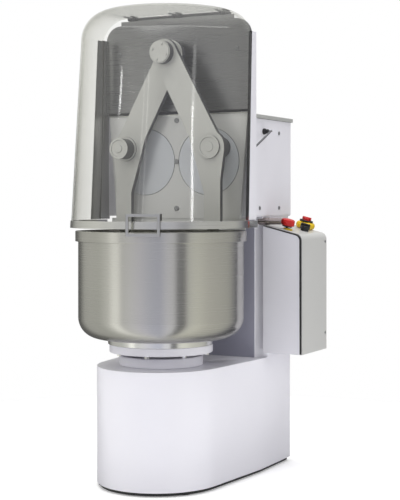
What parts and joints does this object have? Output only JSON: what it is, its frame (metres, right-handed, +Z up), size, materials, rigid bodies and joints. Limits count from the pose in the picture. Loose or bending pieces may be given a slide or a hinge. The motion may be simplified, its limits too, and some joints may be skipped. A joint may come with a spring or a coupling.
{
  "type": "electric dough mixer",
  "caption": "Free-standing twin-arm dough mixer with box-section diving arms on crank discs, a turning steel bowl, a hinged clear guard and a side control box.",
  "frame": {"origin": "centre of the machine's bounding box, on the floor", "axes": "+Z up, front towards -Y, control box on the +X side"},
  "size_m": [0.7228, 0.9306, 1.657],
  "materials": {
    "painted_white": "satin powder coat",
    "painted_grey": "satin powder coat",
    "arm_grey": "smooth satin paint",
    "lid_grey": "satin powder coat",
    "brushed_stainless": "brushed",
    "dark_stainless": "brushed",
    "machined_steel": "machined",
    "gear_steel": "oiled",
    "cast_iron": "primed",
    "black_plastic": "matt",
    "black_rubber": "matt",
    "grey_plastic": "matt",
    "clear_guard": "clear polycarbonate",
    "yellow_plastic": "satin",
    "red_plastic": "gloss",
    "anodised": "black anodised"
  },
  "bodies": {
    "machine": {"base_housing": "painted_white", "base_floor": "painted_grey", "levelling_feet": "black_rubber", "bowl_hub": "painted_white", "bowl_bearings": "machined_steel", "bowl_gearmotor": "cast_iron", "column_housing": "painted_white", "head_housing": "painted_white", "head_lid": "lid_grey", "rear_panel": "painted_white", "side_panels": "painted_grey", "panel_screws": "machined_steel", "front_plate": "painted_grey", "gearbox_case": "cast_iron", "crank_bearings": "machined_steel", "input_bearings": "machined_steel", "back_panel": "dark_stainless", "cheeks": "painted_white", "guard_seals": "black_rubber", "hinge_blocks": "black_plastic", "motor": "cast_iron", "drive_belt": "black_rubber", "cable_gland": "black_plastic", "sensor_lead": "grey_plastic", "mains_gland": "black_plastic", "box_body": "painted_white", "box_front": "painted_white", "box_gasket": "black_rubber", "box_cover": "brushed_stainless", "estop_ring": "yellow_plastic", "selector_base": "black_plastic", "switch_plate": "yellow_plastic"},
    "crank_left_body": {"crank_left": "machined_steel", "crank_shaft_left": "machined_steel", "crank_gear_left": "gear_steel"},
    "crank_right_body": {"crank_right": "machined_steel", "crank_shaft_right": "machined_steel", "crank_gear_right": "gear_steel"},
    "arm_left_body": {"arm_left": "arm_grey", "knee_cap_left": "arm_grey", "hand_left": "brushed_stainless"},
    "arm_right_body": {"arm_right": "arm_grey", "knee_cap_right": "arm_grey", "hand_right": "brushed_stainless", "top_pin": "arm_grey"},
    "bowl_body": {"bowl": "brushed_stainless", "bowl_ring": "brushed_stainless", "drive_flange": "painted_white", "flange_bolts": "machined_steel"},
    "guard_body": {"guard": "clear_guard", "guard_rim": "brushed_stainless", "guard_handle": "brushed_stainless", "hinge_leaf": "anodised"},
    "motor_rotor": {"motor_pulley": "cast_iron"},
    "input_body": {"input_shaft": "gear_steel", "input_pulley": "cast_iron"},
    "idler_body": {"idler_gear": "gear_steel"},
    "estop_body": {"estop_button": "red_plastic"},
    "selector_body": {"selector_knob": "black_plastic"},
    "switch_body": {"switch_handle": "red_plastic"}
  },
  "joints": [
    {"name": "crank_left_spin", "type": "hinge", "parent": "machine", "child": "crank_left_body", "pos_m": [-0.1715, -0.00467, 1.126], "axis": [0, 1, 0], "continuous": true},
    {"name": "crank_right_spin", "type": "hinge", "parent": "machine", "child": "crank_right_body", "pos_m": [0.0845, -0.00467, 1.126], "axis": [0, 1, 0], "continuous": true},
    {"name": "arm_left_swing", "type": "hinge", "parent": "crank_left_body", "child": "arm_left_body", "pos_m": [-0.22393, -0.05867, 1.17238], "axis": [0, 1, 0], "continuous": true},
    {"name": "arm_right_swing", "type": "hinge", "parent": "crank_right_body", "child": "arm_right_body", "pos_m": [0.13693, -0.05867, 1.17238], "axis": [0, 1, 0], "continuous": true},
    {"name": "input_spin", "type": "hinge", "parent": "machine", "child": "input_body", "pos_m": [-0.0675, 0.13133, 1.07462], "axis": [0, 1, 0], "continuous": true},
    {"name": "idler_spin", "type": "hinge", "parent": "machine", "child": "idler_body", "pos_m": [-0.0195, 0.13133, 1.07462], "axis": [0, 1, 0], "continuous": true},
    {"name": "motor_spin", "type": "hinge", "parent": "machine", "child": "motor_rotor", "pos_m": [-0.1035, 0.23133, 0.524], "axis": [0, 1, 0], "continuous": true},
    {"name": "bowl_spin", "type": "hinge", "parent": "machine", "child": "bowl_body", "pos_m": [-0.0435, -0.11867, 0.5], "axis": [0, 0, 1], "continuous": true},
    {"name": "guard_hinge", "type": "hinge", "parent": "machine", "child": "guard_body", "pos_m": [-0.0435, 0.00356, 1.65], "axis": [-1, 0, 0], "range_deg": [0, 75]},
    {"name": "estop_press", "type": "slide", "parent": "machine", "child": "estop_body", "axis": [-0.2334, 0, -0.9724], "range_m": [0, 0.005], "stiffness_N_per_m": 800, "springref_m": -0.004},
    {"name": "selector_turn", "type": "hinge", "parent": "machine", "child": "selector_body", "pos_m": [0.3085, 0.33633, 0.87247], "axis": [0.2334, 0, 0.9724], "range_deg": [-45, 45]},
    {"name": "main_switch_turn", "type": "hinge", "parent": "machine", "child": "switch_body", "pos_m": [0.2835, 0.39933, 0.87847], "axis": [0.2334, 0, 0.9724], "range_deg": [0, 90]}
  ],
  "couplings": [
    {"joint": "crank_right_spin", "follows": "crank_left_spin", "ratio": -1},
    {"joint": "arm_left_swing", "follows": "crank_left_spin", "ratio": -1},
    {"joint": "arm_right_swing", "follows": "crank_left_spin", "ratio": 1},
    {"joint": "input_spin", "follows": "crank_left_spin", "ratio": -3.8333},
    {"joint": "idler_spin", "follows": "crank_left_spin", "ratio": 3.8333},
    {"joint": "motor_spin", "follows": "crank_left_spin", "ratio": -10.435}
  ]
}
